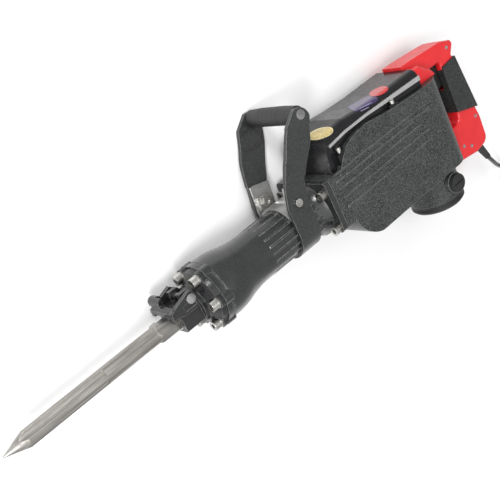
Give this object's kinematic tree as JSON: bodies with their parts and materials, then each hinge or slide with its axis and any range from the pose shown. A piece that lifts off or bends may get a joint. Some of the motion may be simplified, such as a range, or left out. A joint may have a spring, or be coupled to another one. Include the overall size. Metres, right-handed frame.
{
  "type": "electric demolition hammer",
  "caption": "Electric demolition hammer with a hexagonal tool socket and fluted point chisel, a turnable strap side handle, a closed rear handle with trigger, and a mains cord.",
  "frame": {"origin": "centre of the tool socket's mouth, on the front face of the nose, on the hammer axis", "axes": "+X along the hammer axis from the chisel to the rear handle, +Y towards the top cover and the side grip, +Z across the tool; the tool lies on its -Z side"},
  "size_m": [1.399, 0.5777, 0.14],
  "materials": {
    "bit_steel": "ground tool steel",
    "nose_black": "black coated cast alloy",
    "tool_steel": "machined",
    "case_black": "hammered black paint on cast alloy",
    "bolt_zinc": "zinc plated",
    "seal_rubber": "matt",
    "light_alloy": "cast",
    "motor_iron": "laminated",
    "copper": "wound copper",
    "cover_gloss": "gloss",
    "rail_bright": "bright",
    "black_plastic": "moulded",
    "strap_black": "satin black paint",
    "handle_red": "moulded red",
    "trigger_black": "moulded",
    "cord_black": "rubber sheath"
  },
  "bodies": {
    "housing": {"brush_caps": "black_plastic", "brush_holders": "black_plastic", "carbon_brushes": "black_plastic", "case_bolts": "bolt_zinc", "cord_coil": "cord_black", "cord_guard": "seal_rubber", "cover_bolts": "bolt_zinc", "cover_rails": "rail_bright", "crankcase": "case_black", "cylinder_case": "case_black", "cylinder_liner": "tool_steel", "damper_ring": "seal_rubber", "dust_seal": "seal_rubber", "end_cover": "black_plastic", "end_cover_screws": "tool_steel", "field_coils": "copper", "front_bolts": "bolt_zinc", "front_cover": "nose_black", "front_washers": "bolt_zinc", "gear_bearings": "tool_steel", "gear_carrier": "light_alloy", "gear_cover": "light_alloy", "handle_screws": "tool_steel", "hex_sleeve": "tool_steel", "impact_guide": "light_alloy", "mains_plug": "cord_black", "motor_bearings": "tool_steel", "motor_housing": "case_black", "plug_pins": "tool_steel", "power_cord": "cord_black", "rear_grip": "seal_rubber", "rear_handle_far": "handle_red", "rear_handle_near": "handle_red", "retainer_pin": "tool_steel", "stator_core": "motor_iron", "switch_unit": "black_plastic", "top_cover": "cover_gloss"},
    "chisel": {"chisel": "bit_steel"},
    "impact": {"impact_bolt": "tool_steel"},
    "striker": {"striker": "tool_steel", "striker_ring": "seal_rubber"},
    "piston": {"piston": "light_alloy", "wrist_pin": "tool_steel"},
    "rod": {"connecting_rod": "tool_steel", "crank_pin": "tool_steel"},
    "crank": {"crankshaft": "tool_steel", "crank_gear": "tool_steel"},
    "gear_shaft": {"gear_shaft": "tool_steel", "gear_wheel": "tool_steel"},
    "armature": {"armature_shaft": "tool_steel", "armature_core": "motor_iron", "commutator": "copper", "cooling_fan": "black_plastic"},
    "side_handle": {"handle_strap": "strap_black", "handle_saddle": "bolt_zinc", "clamp_bolts": "bolt_zinc", "side_grip": "seal_rubber", "grip_rod": "tool_steel"},
    "retainer": {"tool_retainer": "nose_black"},
    "trigger": {"trigger": "trigger_black"}
  },
  "joints": [
    {"name": "chisel_slide", "type": "slide", "parent": "housing", "child": "chisel", "axis": [1, 0, 0], "range_m": [0, 0.014]},
    {"name": "impact_slide", "type": "slide", "parent": "housing", "child": "impact", "axis": [1, 0, 0], "range_m": [0, 0.014]},
    {"name": "striker_slide", "type": "slide", "parent": "housing", "child": "striker", "axis": [1, 0, 0], "range_m": [0, 0.018]},
    {"name": "piston_slide", "type": "slide", "parent": "housing", "child": "piston", "axis": [-1, 0, 0], "range_m": [0, 0.04]},
    {"name": "rod_swing", "type": "hinge", "parent": "piston", "child": "rod", "pos_m": [0.35, 0, 0], "axis": [0, 1, 0], "range_deg": [-8, 8]},
    {"name": "armature_spin", "type": "hinge", "parent": "housing", "child": "armature", "pos_m": [0.605, 0, 0], "axis": [0, 1, 0], "continuous": true},
    {"name": "gear_shaft_spin", "type": "hinge", "parent": "housing", "child": "gear_shaft", "pos_m": [0.547, 0, 0], "axis": [0, 1, 0], "continuous": true},
    {"name": "crank_spin", "type": "hinge", "parent": "housing", "child": "crank", "pos_m": [0.4745, 0, 0], "axis": [0, 1, 0], "continuous": true},
    {"name": "side_handle_turn", "type": "hinge", "parent": "housing", "child": "side_handle", "pos_m": [0.27, 0, 0], "axis": [1, 0, 0], "continuous": true},
    {"name": "retainer_turn", "type": "hinge", "parent": "housing", "child": "retainer", "pos_m": [0.026, 0.028, 0], "axis": [0, 0, -1], "range_deg": [0, 90]},
    {"name": "trigger_press", "type": "hinge", "parent": "housing", "child": "trigger", "pos_m": [0.722, 0.084, 0], "axis": [0, 0, 1], "range_deg": [0, 6], "stiffness_Nm_per_rad": 0.8, "springref_deg": -8.59}
  ],
  "couplings": [
    {"joint": "gear_shaft_spin", "follows": "armature_spin", "ratio": -0.20833},
    {"joint": "crank_spin", "follows": "armature_spin", "ratio": 0.060185},
    {"joint": "impact_slide", "follows": "chisel_slide", "ratio": 1}
  ]
}
